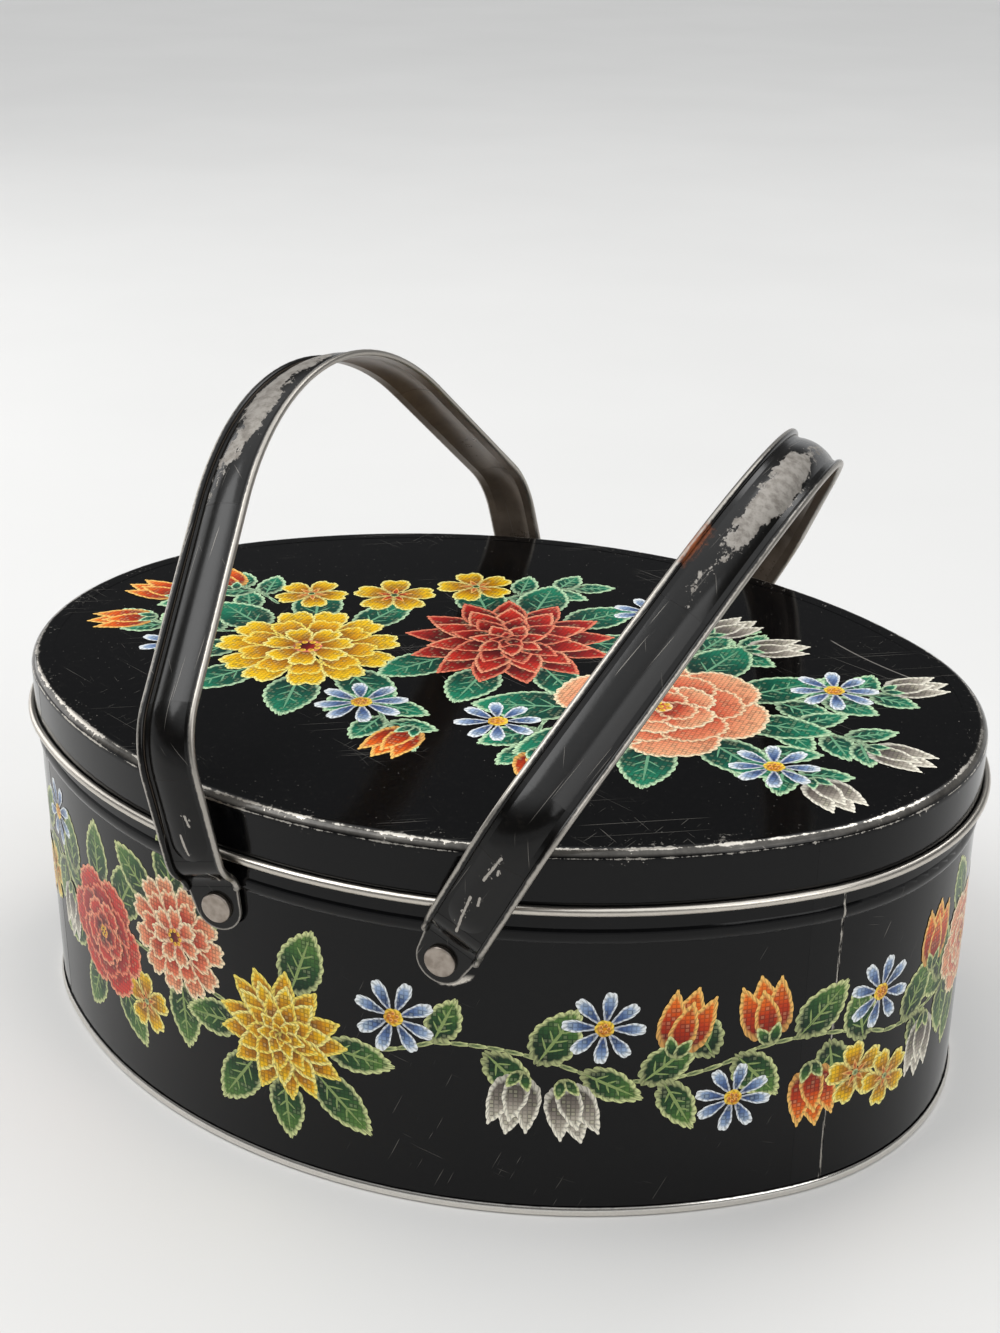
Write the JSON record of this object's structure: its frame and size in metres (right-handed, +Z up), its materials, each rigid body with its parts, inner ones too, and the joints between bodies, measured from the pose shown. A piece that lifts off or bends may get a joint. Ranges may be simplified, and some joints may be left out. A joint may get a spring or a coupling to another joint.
{
  "type": "oval tin box",
  "caption": "Oval lidded tin box with a ridged seamed wall, a lift-off lid with a curled edge and strap handles that swing on rivets.",
  "frame": {"origin": "middle of the tin's footprint, on the table", "axes": "+X along the oval, +Y to the back, +Z up"},
  "size_m": [0.3052, 0.2362, 0.2059],
  "materials": {
    "black_tin": "glossy black lacquer on tinplate, worn bright along rolled edges",
    "strap": "black lacquer, scuffed to bare metal on the crown and edges",
    "rivet": "dull bare steel"
  },
  "bodies": {
    "tin": {"body_wall": "black_tin", "base_panel": "black_tin", "rivet_front_left": "rivet", "rivet_front_right": "rivet", "rivet_back_left": "rivet", "rivet_back_right": "rivet"},
    "lid": {"lid": "black_tin"},
    "left_handle": {"left_handle": "strap"},
    "right_handle": {"right_handle": "strap"}
  },
  "joints": [
    {"name": "lid_lift", "type": "slide", "parent": "tin", "child": "lid", "axis": [0, 0, 1], "range_m": [0, 0.0172]},
    {"name": "left_handle_swing", "type": "hinge", "parent": "tin", "child": "left_handle", "pos_m": [-0.0335, 0, 0.0821], "axis": [0, -1, 0], "range_deg": [-23.5, 87]},
    {"name": "right_handle_swing", "type": "hinge", "parent": "tin", "child": "right_handle", "pos_m": [0.0335, 0, 0.0821], "axis": [0, 1, 0], "range_deg": [-38.5, 72]}
  ]
}
